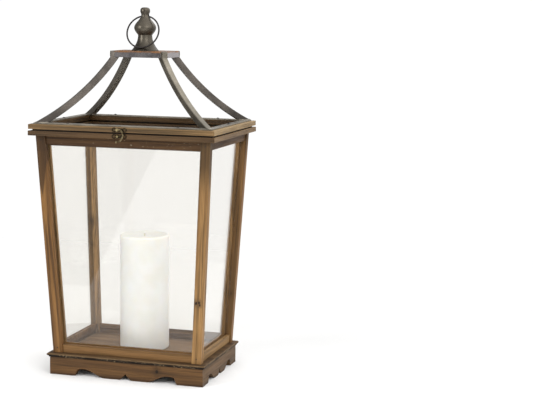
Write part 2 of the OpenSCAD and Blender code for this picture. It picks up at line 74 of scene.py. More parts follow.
def scaled(colour, factor):
    """Colour made darker or lighter by a factor."""
    return tuple(c * factor for c in colour)


# ---------------------------------------------------------------- node trees


class Nodes:
    """A node tree and helpers that add nodes to it."""

    def __init__(self, tree):
        self.tree = tree

    def add(self, kind):
        return self.tree.nodes.new(kind)

    def link(self, source, target):
        """Feeds a socket from another socket, or sets it to a number, vector or colour."""
        if isinstance(source, (int, float)):
            target.default_value = source
        elif isinstance(source, tuple):
            target.default_value = source if len(source) == 4 or target.type == "VECTOR" else (*source, 1)
        else:
            self.tree.links.new(source, target)

    def math(self, operation, a, b=0.0, clamp=False):
        n = self.add("ShaderNodeMath")
        n.operation, n.use_clamp = operation, clamp
        self.link(a, n.inputs[0])
        self.link(b, n.inputs[1])
        return n.outputs[0]

    def vector(self, operation, a, b=None):
        n = self.add("ShaderNodeVectorMath")
        n.operation = operation
        self.link(a, n.inputs[0])
        if b is not None:
            self.link(b, n.inputs[1])
        return n.outputs["Value"] if operation in ("LENGTH", "DOT_PRODUCT") else n.outputs[0]

    def split(self, vector):
        n = self.add("ShaderNodeSeparateXYZ")
        self.link(vector, n.inputs[0])
        return n.outputs

    def join(self, x, y, z):
        n = self.add("ShaderNodeCombineXYZ")
        for value, socket in zip((x, y, z), n.inputs):
            self.link(value, socket)
        return n.outputs[0]

    def noise(self, coords, scale=1.0, detail=3.0, roughness=0.55):
        n = self.add("ShaderNodeTexNoise")
        self.link(coords, n.inputs["Vector"])
        n.inputs["Scale"].default_value = scale
        n.inputs["Detail"].default_value = detail
        n.inputs["Roughness"].default_value = roughness
        return n.outputs["Fac"]

    def step(self, value, low, high, out_low=0.0, out_high=1.0):
        """Smooth change from out_low to out_high as value goes from low to high."""
        n = self.add("ShaderNodeMapRange")
        n.interpolation_type = "SMOOTHSTEP"
        self.link(value, n.inputs["Value"])
        for key, number in (("From Min", low), ("From Max", high), ("To Min", out_low), ("To Max", out_high)):
            n.inputs[key].default_value = number
        return n.outputs["Result"]

    def mix(self, fac, a, b):
        n = self.add("ShaderNodeMix")
        n.data_type = "RGBA"
        self.link(fac, n.inputs["Factor"])
        self.link(a, n.inputs["A"])
        self.link(b, n.inputs["B"])
        return n.outputs["Result"]

    def ramp(self, fac, stops):
        """Colour that follows fac through a list of (place, colour) stops."""
        n = self.add("ShaderNodeValToRGB")
        elements = n.color_ramp.elements
        while len(elements) < len(stops):
            elements.new(0.5)
        for element, (place, colour) in zip(elements, stops):
            element.position, element.color = place, (*colour, 1)
        self.link(fac, n.inputs["Fac"])
        return n.outputs["Color"]


class Shader(Nodes):
    """A material under construction: a Principled shader and the nodes that feed it."""

    def __init__(self, name):
        self.mat = bpy.data.materials.new(name)
        self.mat.use_nodes = True
        super().__init__(self.mat.node_tree)
        self.bsdf = self.tree.nodes["Principled BSDF"]
        self.coords = self.add("ShaderNodeTexCoord").outputs["Object"]

    def finish(self, colour, roughness, height=None, strength=0.3, distance=0.4 * MM):
        """Links colour, roughness and a bump of the given strength and depth; returns the material."""
        self.link(colour, self.bsdf.inputs["Base Color"])
        self.link(roughness, self.bsdf.inputs["Roughness"])
        if height is not None:
            bump = self.add("ShaderNodeBump")
            bump.inputs["Strength"].default_value = strength
            bump.inputs["Distance"].default_value = distance
            self.link(height, bump.inputs["Height"])
            self.link(bump.outputs["Normal"], self.bsdf.inputs["Normal"])
        return self.mat


# ---------------------------------------------------------------- wood

AXES = {"x": 0, "y": 1, "z": 2}
RING_WIDTH = 2.8 * MM  # one year's growth
KNOT_ALONG, KNOT_THROUGH = 0.72, 0.6  # knots are ovals: how much a distance counts along and through the wood
WOOD_SHINE = 0.22
PLANK_W = 62 * MM
FLOOR_EDGE = (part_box("lower_rail_right")[0].x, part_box("lower_rail_back")[0].y)  # inner faces of the rails
FRONT_POST_Y = POST_LOW.y + (POST_HIGH.z - CASE_Z) * math.tan(LEAN)  # face of the front posts, at their feet
BACK_POST_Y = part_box("post_back_left")[0].y  # inner face of the back posts, at their feet
SKIRT_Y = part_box("skirt_front")[0].y


def wood(name, grain, colours, seed, lean=(0, 0), knots=(), shade=None, worn=None, streak=0.6, specks=False):
    """Stained softwood. grain is the axis it runs along; colours are its light, middle and dark stain;
    lean says which way a post leans out in x and y; knots are (place, radius) pairs; shade and worn are
    functions that give darkening and wear from the coordinates, where the darkening is a real stain on the
    front posts and painted shade on the faces of the back posts that look into the case; streak is how strong
    the dark streaks are; specks says whether it has pale flecks."""
    light, mid, dark = colours
    s = Shader(name)
    x, y, z = s.split(s.coords)
    if lean != (0, 0):
        up = s.math("SUBTRACT", z, CASE_Z)
        x = s.math("SUBTRACT", x, s.math("MULTIPLY", up, lean[0] * math.tan(LEAN)))
        y = s.math("SUBTRACT", y, s.math("MULTIPLY", up, lean[1] * math.tan(LEAN)))
    places = [x, y, z]
    along = places.pop(AXES[grain])
    across, through = places
    pick = random.Random(seed)
    offset = pick.uniform(3, 9)
    pith = (pick.uniform(0.03, 0.055), pick.uniform(0.02, 0.035))

    # knots push the growth rings aside
    knot_core, knot_halo = 0.0, 0.0
    for place, radius in knots:
        k = list(place)
        k_along = k.pop(AXES[grain])
        gap = s.join(
            s.math("MULTIPLY", s.math("SUBTRACT", along, k_along), KNOT_ALONG),
            s.math("SUBTRACT", across, k[0]),
            s.math("MULTIPLY", s.math("SUBTRACT", through, k[1]), KNOT_THROUGH))
        wobble = s.math("MULTIPLY", s.math("SUBTRACT", s.noise(s.coords, 160, 2), 0.5), radius * 0.7)
        away = s.math("ADD", s.vector("LENGTH", gap), wobble)
        knot_core = s.math("MAXIMUM", knot_core, s.step(away, radius * 1.05, radius * 0.55))
        knot_halo = s.math("MAXIMUM", knot_halo, s.step(away, radius * 3.4, radius * 0.8))

    # growth rings round a pith outside the board, each darkest at its end
    wander = s.noise(s.join(s.math("MULTIPLY", along, 3.2), s.math("MULTIPLY", across, 14),
                            s.math("ADD", s.math("MULTIPLY", through, 14), offset)), 1, 2)
    bend = s.math("MULTIPLY", s.math("SUBTRACT", wander, 0.5), 0.016)
    bend = s.math("ADD", bend, s.math("MULTIPLY", knot_halo, 0.006))
    to_pith = s.join(s.math("ADD", across, pith[0]), s.math("ADD", through, pith[1]), 0.0)
    ring = s.math("DIVIDE", s.math("ADD", s.vector("LENGTH", to_pith), bend), RING_WIDTH)
    saw = s.math("FRACT", ring)
    late = s.math("MULTIPLY", s.math("POWER", saw, 3.0), s.step(saw, 1.0, 0.93))

    def streaks(per_m_along, per_m_across, shift, detail=3.0):
        depth = s.math("ADD", s.math("MULTIPLY", through, per_m_across), offset + shift)
        length = s.math("MULTIPLY", along, per_m_along)
        width = s.math("MULTIPLY", across, per_m_across)
        return s.noise(s.join(length, width, depth), 1, detail)

    # noise drawn out along the grain, from fine fibres to broad bands
    fibre = streaks(22, 1500, 1.3)
    broad = streaks(3.5, 90, 4.1, 4)
    stain = streaks(4.5, 210, 7.7, 4)
    pores = streaks(60, 2600, 2.9, 2)

    colour = s.mix(s.step(broad, 0.36, 0.64), blend(mid, dark, 0.15), light)
    colour = s.mix(s.math("MULTIPLY", late, 0.6), colour, blend(mid, dark, 0.5))
    colour = s.mix(s.step(stain, 0.5, 0.68, 0, streak), colour, dark)
    colour = s.mix(s.step(stain, 0.42, 0.3, 0, 0.5), colour, light)
    colour = s.mix(s.step(fibre, 0.4, 0.7, 0.0, 0.5), colour, blend(dark, mid, 0.25))
    colour = s.mix(s.step(fibre, 0.42, 0.25, 0.0, 0.6), colour, light)
    colour = s.mix(s.math("MULTIPLY", knot_halo, 0.5), colour, dark)
    colour = s.mix(knot_core, colour, scaled(dark, 0.3))
    if shade is not None:
        # the dark that a shade function mixes in: a real stain on the front posts, painted shade on the back
        # posts' inner faces
        stain_and_shade = s.mix(s.step(stain, 0.35, 0.65), scaled(dark, 1.3), scaled(dark, 0.75))
        colour = s.mix(shade(s, x, y, z, broad), colour, stain_and_shade)
    if worn is not None:
        colour = s.mix(worn(s, x, y, z, stain), colour, light)
    if specks:
        dust = s.noise(s.coords, 330, 1)
        colour = s.mix(s.step(dust, 0.74, 0.77, 0, 0.8), colour, srgb(205, 190, 165))
    rough = s.step(fibre, 0.3, 0.7, 0.46, 0.68)
    grooves = s.math("ADD", s.math("MULTIPLY", fibre, 0.7), s.step(pores, 0.62, 0.72, 0, -0.8))
    height = s.math("ADD", s.math("MULTIPLY", late, 0.5), grooves)
    s.bsdf.inputs["Specular IOR Level"].default_value = WOOD_SHINE
    return s.finish(colour, rough, height, 0.45, 0.35 * MM)


def tones(light, mid, dark):
    """The three stain colours of a board, given as sRGB triples."""
    return srgb(*light), srgb(*mid), srgb(*dark)


GOLD = tones((165, 127, 79), (134, 99, 59), (70, 52, 31))
GOLD_BACK = tones((158, 118, 70), (128, 92, 51), (67, 48, 26))
GOLD_DEEP = tones((142, 103, 58), (115, 80, 43), (59, 41, 24))
INNER_GOLD = tones((162, 127, 84), (130, 101, 64), (70, 54, 37))
RAIL = tones((135, 100, 61), (104, 76, 44), (62, 45, 25))
# Painted light: a lighter copy of the rail's tone, for the right-hand rail, where the light falls strongest
RAIL_PAINTED_LIT = tones((151, 118, 76), (118, 91, 56), (69, 51, 31))
BROWN = tones((96, 69, 39), (72, 49, 27), (43, 28, 15))
FLANGE = tones((92, 69, 43), (69, 50, 31), (41, 30, 18))
# Painted light: a lighter copy of the rim's tone, for the right-hand rim strip
FLANGE_PAINTED_LIT = tones((130, 105, 74), (100, 78, 53), (60, 45, 30))
# Painted shade: a darker copy of the rim's tone, for the back and left strips, whose inner faces look into
# the shaded case
FLANGE_PAINTED_SHADE = tones((72, 52, 28), (54, 37, 20), (32, 22, 11))
LID = tones((137, 108, 70), (102, 79, 51), (59, 47, 29))
# Painted light: a lighter copy of the lid's tone, for the right-hand lid strip
LID_PAINTED_LIT = tones((162, 136, 96), (122, 100, 69), (72, 56, 38))
# Painted shade: a darker copy of the lid's tone, for the back and left strips, whose inner faces look into
# the shaded case
LID_PAINTED_SHADE = tones((80, 56, 25), (48, 34, 15), (24, 16, 7))
SKIRT = tones((106, 75, 42), (86, 60, 34), (50, 35, 19))
SKIRT_SIDE = tones((113, 85, 53), (88, 64, 39), (48, 35, 20))
SEAT = tones((48, 38, 28), (30, 23, 17), (15, 11, 8))


def dark_top(full, none, tongue):
    """A stain that comes down a post from the rim, full above one height and gone below another, with
    tongues that reach up and down by about the given length."""
    def shade(s, x, y, z, broad):
        uneven = s.math("MULTIPLY", s.math("SUBTRACT", broad, 0.5), tongue)
        return s.step(s.math("ADD", z, uneven), none, full, 0, 0.88)
    return shade


def flame_stain(centre, tip, spread, top):
    """A dark stain that narrows to a point as it comes down the face of a post: centre is the point's x,
    tip its height, spread the half width gained per metre of height, and top where it fills the face."""
    def shade(s, x, y, z, broad):
        half = s.math("MULTIPLY", s.math("SUBTRACT", z, tip), spread)
        aside = s.math("ABSOLUTE", s.math("SUBTRACT", x, centre))
        uneven = s.math("MULTIPLY", s.math("SUBTRACT", broad, 0.5), 0.008)
        inside = s.math("ADD", s.math("SUBTRACT", half, aside), uneven)
        flame = s.step(inside, -0.001, 0.0035, 0, 0.84)
        return s.math("MAXIMUM", flame, s.step(z, top - 0.02, top + 0.015, 0, 0.92))
    return shade


def darker_lower_edge(s, x, y, z, broad):
    """Darker along the scalloped lower edge of a skirt board, towards the floor."""
    uneven = s.math("MULTIPLY", s.math("SUBTRACT", broad, 0.5), 0.012)
    return s.step(s.math("ADD", z, uneven), 12 * MM, 1 * MM, 0, 0.5)


def dark_inner_face(full, none):
    """The face of a back post that looks into the case is darkened as painted shade, broken into uneven
    streaks, and its top is darker too, fully above one height and not at all below another."""
    def shade(s, x, y, z, broad):
        depth = s.math("SUBTRACT", y, BACK_POST_Y)
        # painted shade on the face that looks into the case, made uneven by the streak noise below
        near = s.step(depth, 2.4 * MM, 0.2 * MM)
        uneven = s.step(broad, 0.36, 0.6, 0.25, 0.85)
        top = s.step(z, none, full, 0, 0.8)
        return s.math("MAXIMUM", s.math("MULTIPLY", near, uneven), top)
    return shade


def flange_wear(low, high):
    """Wear along the upper and lower edge of a flat strip between two heights."""
    def wear(s, x, y, z, stain):
        near_top = s.step(z, high - 1.6 * MM, high - 0.4 * MM)
        near_foot = s.step(z, low + 1.2 * MM, low + 0.3 * MM)
        edge = s.math("MAXIMUM", near_top, s.math("MULTIPLY", near_foot, 0.6))
        return s.math("MULTIPLY", edge, s.step(stain, 0.35, 0.6, 0.1, 0.8))
    return wear


def paint_wood():
    """Dresses every wooden piece. Knots lie on the faces that they show on, and a post's knots are placed as
    if it stood upright on its foot."""
    high_knot, low_knot = 0.2885, 0.2363  # heights of the two knots on the back left corner
    posts = {
        "post_front_right": (GOLD, (1, -1), 11, dark_top(full=0.452, none=0.372, tongue=0.08),
                             [((0.1440, FRONT_POST_Y, 0.1700), 0.0030),
                              ((0.1500, FRONT_POST_Y, 0.1715), 0.0026),
                              ((0.1516, FRONT_POST_Y, 0.1665), 0.0020)]),
        "post_front_left": (GOLD_DEEP, (-1, -1), 12,
                            flame_stain(centre=-0.1545, tip=0.368, spread=0.24, top=0.45), []),
        "post_back_left": (INNER_GOLD, (-1, 1), 13, dark_inner_face(full=0.50, none=0.44),
                           [((-0.149, BACK_POST_Y, high_knot), 0.0045),
                            ((-0.149, BACK_POST_Y, low_knot), 0.0025)]),
        "post_back_right": (GOLD_BACK, (1, 1), 14, dark_inner_face(full=0.50, none=0.40),
                            [((0.152, BACK_POST_Y, 0.150), 0.0030)]),
    }
    for name, (colours, lean, seed, shade, knots) in posts.items():
        dress(name, wood("wood_" + name, "z", colours, seed, lean, knots, shade, streak=0.75))
    # The right-hand rail, rim and lid strips take lighter copies of their tones as painted light; the back
    # and left rim and lid strips take darker copies as painted shade
    boards = {
        "lower_rail_front": ("x", RAIL), "lower_rail_back": ("x", RAIL),
        "lower_rail_left": ("y", RAIL), "lower_rail_right": ("y", RAIL_PAINTED_LIT),
        "upper_rail_front": ("x", BROWN), "upper_rail_back": ("x", BROWN),
        "upper_rail_left": ("y", BROWN), "upper_rail_right": ("y", BROWN),
        "rim_front": ("x", FLANGE), "rim_back": ("x", FLANGE_PAINTED_SHADE),
        "rim_left": ("y", FLANGE_PAINTED_SHADE), "rim_right": ("y", FLANGE_PAINTED_LIT),
        "lid_front": ("x", LID), "lid_back": ("x", LID_PAINTED_SHADE),
        "lid_left": ("y", LID_PAINTED_SHADE), "lid_right": ("y", LID_PAINTED_LIT),
        "skirt_front": ("x", SKIRT), "skirt_back": ("x", SKIRT),
        "skirt_left": ("y", SKIRT_SIDE), "skirt_right": ("y", SKIRT_SIDE),
    }
    for count, (name, (grain, colours)) in enumerate(boards.items()):
        low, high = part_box(name)
        skirt = name.startswith("skirt")
        knots = [((0.068, SKIRT_Y, 0.024), 0.0030)] if name == "skirt_front" else []
        shade = darker_lower_edge if skirt else None
        worn = flange_wear(low.z, high.z) if name.startswith(("lid", "rim")) else None
        dress(name, wood("wood_" + name, grain, colours, 30 + count, knots=knots, shade=shade, worn=worn,
                         streak=0.85 if skirt else 0.7, specks=name == "upper_rail_front"))
    dress("lower_beads", wood("wood_lower_beads", "x", RAIL, 61))
    dress("upper_beads", wood("wood_upper_beads", "x", BROWN, 62))
    bead_knots = [((-0.160, 0.102, high_knot), 0.0045), ((-0.158, 0.099, low_knot), 0.0025),
                  ((0.160, 0.102, 0.150), 0.003)]
    dress("corner_beads", wood("wood_corner_beads", "z", INNER_GOLD, 63, knots=bead_knots, streak=0.9))
    dress("corner_blocks", wood("wood_corner_blocks", "z", RAIL, 64))
    dress("lid_seat", wood("wood_lid_seat", "x", SEAT, 65))
    dress("base_board", board_material())


def board_material():
    """The base board: greyed inside floor with plank seams, brown top outside, and a dark edge painted
    near-black as shade, with pale rubbed scrapes and a painted highlight along its nose.
    """
    s = Shader("wood_base_board")
    x, y, z = s.split(s.coords)
    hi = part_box("base_board")[1]
    fibre = s.noise(s.join(s.math("MULTIPLY", x, 22), s.math("MULTIPLY", y, 1300), z), 1, 3)
    broad = s.noise(s.join(s.math("MULTIPLY", x, 5), s.math("MULTIPLY", y, 60), 3.3), 1, 4)
    floor_tone = s.mix(s.step(broad, 0.35, 0.65), srgb(136, 107, 76), srgb(113, 88, 60))
    floor_tone = s.mix(s.step(fibre, 0.4, 0.7, 0, 0.45), floor_tone, srgb(78, 58, 39))
    plank = s.math("FRACT", s.math("ADD", s.math("DIVIDE", y, PLANK_W), 0.32))
    seam = s.math("ABSOLUTE", s.math("SUBTRACT", plank, 0.5))
    floor_tone = s.mix(s.step(seam, 0.014, 0.006, 0, 0.75), floor_tone, srgb(50, 39, 29))
    # painted shade: the edge's dark stain is pushed near-black for the shade under its rounded nose
    edge_shade_scrapes_highlight = s.mix(s.step(fibre, 0.35, 0.65, 0, 0.5), srgb(33, 25, 18), srgb(17, 13, 9))
    rub = s.noise(s.vector("MULTIPLY", s.coords, (260, 260, 900)), 1, 3)
    patch = s.noise(s.coords, 40, 2)
    rubbed = s.math("MULTIPLY", s.step(rub, 0.56, 0.66), s.step(patch, 0.42, 0.6))
    edge_shade_scrapes_highlight = s.mix(s.math("MULTIPLY", rubbed, 0.85), edge_shade_scrapes_highlight, srgb(186, 162, 126))
    # painted highlight: a lighter, uneven line along the top of the rounded nose
    nose = s.math("MAXIMUM", s.step(s.math("ABSOLUTE", x), hi.x - 3.5 * MM, hi.x - 1 * MM),
                  s.step(s.math("ABSOLUTE", y), hi.y - 3.5 * MM, hi.y - 1 * MM))
    top_edge = s.step(z, hi.z - 4.2 * MM, hi.z - 2.2 * MM)
    nose_highlight = s.math("MULTIPLY", s.math("MULTIPLY", nose, top_edge), s.step(broad, 0.3, 0.6, 0.2, 0.8))
    edge_shade_scrapes_highlight = s.mix(nose_highlight, edge_shade_scrapes_highlight, srgb(106, 84, 58))
    top_tone = s.mix(s.step(broad, 0.35, 0.65), srgb(88, 67, 44), srgb(64, 48, 32))
    past_x, past_y = (s.step(s.math("ABSOLUTE", place), edge - 1 * MM, edge)
                      for place, edge in zip((x, y), FLOOR_EDGE))
    outside = s.math("MAXIMUM", past_x, past_y)
    colour = s.mix(outside, floor_tone, top_tone)
    colour = s.mix(s.step(z, hi.z - 0.4 * MM, hi.z - 1.4 * MM), colour, edge_shade_scrapes_highlight)
    height = s.math("ADD", fibre, s.step(seam, 0.012, 0.004, 0, -2.0))
    s.bsdf.inputs["Specular IOR Level"].default_value = 0.12
    return s.finish(colour, s.step(fibre, 0.3, 0.7, 0.5, 0.7), height, 0.4, 0.4 * MM)


# ---------------------------------------------------------------- metal, glass, wax


def old_iron(name, base, bright, rough=(0.28, 0.4), rust=None, rust_colour=None, seed=0.0, metallic=0.9,
             foot_shade=None, painted_light=None):
    """Dark burnished iron with faint clouds, fine brushing and small pits. rust and polish are functions that
    say where it is rusty and where it is painted brighter as painted light; grime gives the height below
    which the colour is fully darkened as painted shade and the height above which it is not darkened at all."""
    s = Shader(name)
    coords = s.vector("ADD", s.coords, (seed, seed * 0.7, seed * 0.3))
    cloud = s.noise(coords, 30, 4, 0.6)
    brush = s.noise(s.vector("MULTIPLY", coords, (220, 220, 60)), 1, 3)
    pits = s.noise(coords, 320, 3)
    colour = s.mix(s.step(cloud, 0.3, 0.7), base, bright)
    colour = s.mix(s.step(brush, 0.5, 0.75, 0, 0.12), colour, scaled(base, 0.6))
    colour = s.mix(s.step(pits, 0.64, 0.74, 0, 0.15), colour, scaled(base, 0.5))
    # painted light: a brighter colour where the given function says light falls
    if painted_light is not None:
        colour = s.mix(painted_light(s), colour, scaled(bright, 2.3))
    if foot_shade is not None:
        # painted shade: darker towards a foot, standing in for the darker reflection there
        foot_darkening = s.step(s.split(s.coords)[2], foot_shade[1], foot_shade[0], 0, 0.6)
        colour = s.mix(foot_darkening, colour, scaled(base, 0.4))
    roughness = s.math("ADD", s.step(cloud, 0.3, 0.7, rough[0], rough[1]), s.math("MULTIPLY", brush, 0.05))
    metal = metallic
    if rust is not None:
        bloom = rust(s)
        rust_tone = s.mix(s.step(cloud, 0.4, 0.6), rust_colour, scaled(rust_colour, 0.7))
        colour = s.mix(bloom, colour, rust_tone)
        s.bsdf.inputs["Specular IOR Level"].default_value = 0.1
        roughness = s.math("MAXIMUM", roughness, s.math("MULTIPLY", bloom, 0.75))
        metal = s.step(bloom, 0.0, 1.0, metallic, 0.1)
    s.link(metal, s.bsdf.inputs["Metallic"])
    height = s.math("ADD", s.math("MULTIPLY", brush, 0.25), s.step(pits, 0.6, 0.74, 0, -0.4))
    return s.finish(colour, roughness, height, 0.06, 0.2 * MM)


def antique_brass(name, low, middle, high, rough=(0.5, 0.3)):
    """Brass under a patina that runs through three colours, rougher where it is dark."""
    s = Shader(name)
    patina = s.noise(s.coords, 260, 4, 0.65)
    speck = s.noise(s.coords, 1400, 2)
    colour = s.ramp(patina, [(0.32, low), (0.5, middle), (0.68, high)])
    colour = s.mix(s.step(speck, 0.62, 0.7, 0, 0.5), colour, scaled(low, 0.5))
    s.bsdf.inputs["Metallic"].default_value = 0.9
    return s.finish(colour, s.step(patina, 0.3, 0.7, *rough), patina, 0.25, 0.3 * MM)


GLASS_TINT = (0.973, 0.968, 0.956)  # share of the light that one pane lets through
GLASS_SHINE = 0.035  # share that a pane mirrors when it is seen straight on


def glass(name):
    """Sheet glass: what lies behind shows through almost unchanged, under a faint reflection and haze."""
    s = Shader(name)
    s.tree.nodes.remove(s.bsdf)
    clear = s.add("ShaderNodeBsdfTransparent")
    clear.inputs["Color"].default_value = (*GLASS_TINT, 1)
    mirror = s.add("ShaderNodeBsdfGlossy")
    mirror.inputs["Roughness"].default_value = 0.01
    mirror.inputs["Color"].default_value = (1, 1, 1, 1)
    facing = s.add("ShaderNodeLayerWeight").outputs["Facing"]
    shine = s.math("ADD", s.math("MULTIPLY", s.math("POWER", facing, 5.0), 0.9), GLASS_SHINE)
    smear = s.noise(s.vector("MULTIPLY", s.coords, (6, 6, 2)), 2.2, 4, 0.6)
    dust = s.noise(s.coords, 420, 2)
    film = s.add("ShaderNodeBsdfDiffuse")
    film.inputs["Color"].default_value = (0.8, 0.8, 0.76, 1)
    haze = s.math("ADD", s.step(smear, 0.4, 0.75, 0.0, 0.01), s.step(dust, 0.76, 0.8, 0.0, 0.05))
    hazy = s.add("ShaderNodeMixShader")
    s.link(haze, hazy.inputs[0])
    s.link(clear.outputs[0], hazy.inputs[1])
    s.link(film.outputs[0], hazy.inputs[2])
    mixed = s.add("ShaderNodeMixShader")
    s.link(shine, mixed.inputs[0])
    s.link(hazy.outputs[0], mixed.inputs[1])
    s.link(mirror.outputs[0], mixed.inputs[2])
    s.link(mixed.outputs[0], s.tree.nodes["Material Output"].inputs["Surface"])
    return s.mat


def wax(name, foot_z, top_z):
    """Ivory wax: faintly clouded, darkened towards its foot as painted shade, and warmer along its upper
    edge.
    """
    s = Shader(name)
    z = s.split(s.coords)[2]
    cloud = s.noise(s.coords, 28, 4, 0.6)
    fine = s.noise(s.coords, 700, 2)
    colour = s.mix(s.step(cloud, 0.35, 0.7), srgb(229, 231, 232), srgb(224, 225, 222))
    # painted shade: the wax is darkened towards its foot
    low = s.step(z, foot_z + 75 * MM, foot_z + 4 * MM, 0.0, 0.3)
    colour = s.mix(low, colour, srgb(197, 192, 184))
    warm = s.step(z, top_z - 8 * MM, top_z - 1 * MM, 0, 0.4)
    colour = s.mix(warm, colour, srgb(236, 232, 219))
    s.bsdf.inputs["Subsurface Weight"].default_value = 0.8
    s.bsdf.inputs["Subsurface Radius"].default_value = (30 * MM, 25 * MM, 19 * MM)
    s.bsdf.inputs["Subsurface Scale"].default_value = 1.0
    s.bsdf.inputs["Specular IOR Level"].default_value = 0.45
    height = s.math("ADD", cloud, s.math("MULTIPLY", fine, 0.15))
    return s.finish(colour, s.step(cloud, 0.3, 0.7, 0.3, 0.38), height, 0.12, 0.6 * MM)


def cotton(name):
    """Braided cotton of the wick."""
    s = Shader(name)
    weave = s.noise(s.coords, 3000, 3)
    colour = s.mix(s.step(weave, 0.35, 0.65), srgb(222, 216, 198), srgb(192, 184, 160))
    return s.finish(colour, 0.9, weave, 0.5, 0.3 * MM)


def dress(name, mat):
    """Gives a CAD piece a material in place of whatever its slots hold."""
    obj = nodes[name]
    if not obj.material_slots:
        obj.data.materials.append(mat)
    for material_slot in obj.material_slots:
        material_slot.link = "OBJECT"
        material_slot.material = mat


def cap_rust(s):
    """Rust along the cap's top edge and in patches over its top."""
    x, y, z = s.split(s.coords)
    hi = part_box("roof_cap")[1]
    near_top = s.step(z, hi.z - 4 * MM, hi.z - 1.2 * MM)
    rim = s.math("MAXIMUM", s.step(s.math("ABSOLUTE", x), hi.x - 6 * MM, hi.x - 1 * MM),
                 s.step(s.math("ABSOLUTE", y), hi.y - 6 * MM, hi.y - 1 * MM))
    patchy = s.noise(s.coords, 45, 2, 0.5)
    patches = s.step(patchy, 0.38, 0.56, 0.5, 1.0)
    on_top = s.math("MULTIPLY", s.step(z, hi.z - 0.6 * MM, hi.z - 0.2 * MM),
                    s.math("MAXIMUM", rim, s.step(patchy, 0.46, 0.6, 0.0, 0.3)))
    on_side = s.math("MULTIPLY", near_top, patches)
    return s.math("MULTIPLY", s.math("MAXIMUM", on_top, on_side), 0.92, clamp=True)


def cap_lit_end(s):
    """Painted light: the cap's right-hand end, on the brightly lit side, is painted brighter than its front.
    """
    end_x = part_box("roof_cap")[1].x
    return s.step(s.split(s.coords)[0], end_x - 1.2 * MM, end_x - 0.4 * MM, 0, 0.9)


BARS = ("roof_bar_front_left", "roof_bar_front_right", "roof_bar_back_left", "roof_bar_back_right")


def paint_metal():
    """Dresses the iron roof, the nails and tacks, the hinges and the latch."""
    strap_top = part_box("roof_base_frame")[1].z
    # painted shade: the roof bars are darkened towards their feet
    shaded_foot = (strap_top, strap_top + 45 * MM)
    finishes = {
        "roof_bar_front_left": (srgb(84, 79, 74), srgb(108, 101, 94), 0.8),
        "roof_bar_front_right": (srgb(119, 113, 101), srgb(148, 141, 128), 0.92),
        "roof_bar_back_left": (srgb(79, 74, 66), srgb(96, 90, 81), 0.3),
        "roof_bar_back_right": (srgb(84, 79, 74), srgb(108, 101, 94), 0.8),
        "roof_base_frame": (srgb(112, 106, 95), srgb(140, 133, 120), 0.7),
    }
    for count, (name, (base, bright, metallic)) in enumerate(finishes.items()):
        dress(name, old_iron("iron_" + name, base, bright, seed=0.5 * count, metallic=metallic,
                             foot_shade=shaded_foot if name in BARS else None))
    finial_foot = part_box("finial")[0].z
    # painted shade: the finial is darkened towards its foot
    dress("finial", old_iron("iron_finial", srgb(78, 72, 63), srgb(100, 94, 83), (0.3, 0.4), seed=2.0,
                             metallic=0.8, foot_shade=(finial_foot + 6 * MM, finial_foot + 30 * MM)))
    dress("roof_cap", old_iron("iron_cap", srgb(82, 79, 80), srgb(110, 106, 106), rust=cap_rust,
                               rust_colour=srgb(142, 98, 58), seed=5.0, painted_light=cap_lit_end))
    black = old_iron("iron_black", srgb(19, 14, 11), srgb(28, 21, 17), (0.42, 0.52), seed=7.0, metallic=0.0)
    for name in ("ring_handle", "roof_tacks", "post_nails", "finial_bolt"):
        dress(name, black)
    dark = antique_brass("brass_dark", srgb(27, 22, 16), srgb(50, 42, 29), srgb(104, 91, 63))
    rubbed = antique_brass("brass_rubbed", srgb(70, 60, 42), srgb(132, 116, 80), srgb(200, 186, 145),
                           (0.42, 0.24))
    worn = antique_brass("brass_worn", srgb(52, 43, 31), srgb(106, 92, 66), srgb(186, 171, 133), (0.44, 0.26))
    latch = {"latch_hook": worn, "latch_keeper_rivet": rubbed, "latch_pivot_rivet": rubbed}
    for name in nodes:
        if name.startswith(("hinge_", "latch_")):
            dress(name, latch.get(name, dark))


# ---------------------------------------------------------------- shapes


def new_piece(name, bm, body, mat):
    """Makes a smooth-shaded piece of a mesh under construction and lets it ride on a body."""
    mesh = bpy.data.meshes.new(name)
    bm.to_mesh(mesh)
    bm.free()
    for polygon in mesh.polygons:
        polygon.use_smooth = True
    obj = bpy.data.objects.new(name, mesh)
    bpy.context.scene.collection.objects.link(obj)
    obj.data.materials.append(mat)
    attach(obj, body)


def bead_run(bm, start, end, radius, ripple=1.6 * MM, sides=10):
    """A lumpy weld bead from start to end, built of overlapping ripples that taper off at both ends."""
    way = end - start
    length = way.length
    ahead = way.normalized()
    aside = ahead.orthogonal().normalized()
    above = ahead.cross(aside)
    count = max(6, int(length / (ripple / 3)))
    rings = []
    for i in range(count + 1):
        t = i / count
        taper = math.sin(math.pi * min(max(t, 0.02), 0.98)) ** 0.35
        wave = 1 + 0.16 * math.sin(2 * math.pi * t * length / ripple)
        centre = start + way * t + aside * RANDOM.uniform(-0.08, 0.08) * radius
        ring = []
        for k in range(sides):
            turn = 2 * math.pi * k / sides
            lump = 1 + 0.22 * noise.noise((centre + aside * math.cos(turn) * radius) * 900)
            reach = radius * taper * wave * lump
            ring.append(bm.verts.new(centre + (aside * math.cos(turn) + above * math.sin(turn)) * reach))
        rings.append(ring)
    for a, b in zip(rings, rings[1:]):
        for k in range(sides):
            bm.faces.new((a[k], a[(k + 1) % sides], b[(k + 1) % sides], b[k]))
    bm.faces.new(list(reversed(rings[0])))
    bm.faces.new(rings[-1])


def footprint(name, height):
    """Corners of a piece's mesh that lie on one level, in order round their middle."""
    level = [v.co for v in nodes[name].data.vertices if abs(v.co.z - height) < 0.3 * MM]
    spots = {(round(co.x, 5), round(co.y, 5)) for co in level}
    middle = Vector((sum(p[0] for p in spots), sum(p[1] for p in spots))) / len(spots)
    return sorted(spots, key=lambda p: math.atan2(p[1] - middle.y, p[0] - middle.x))


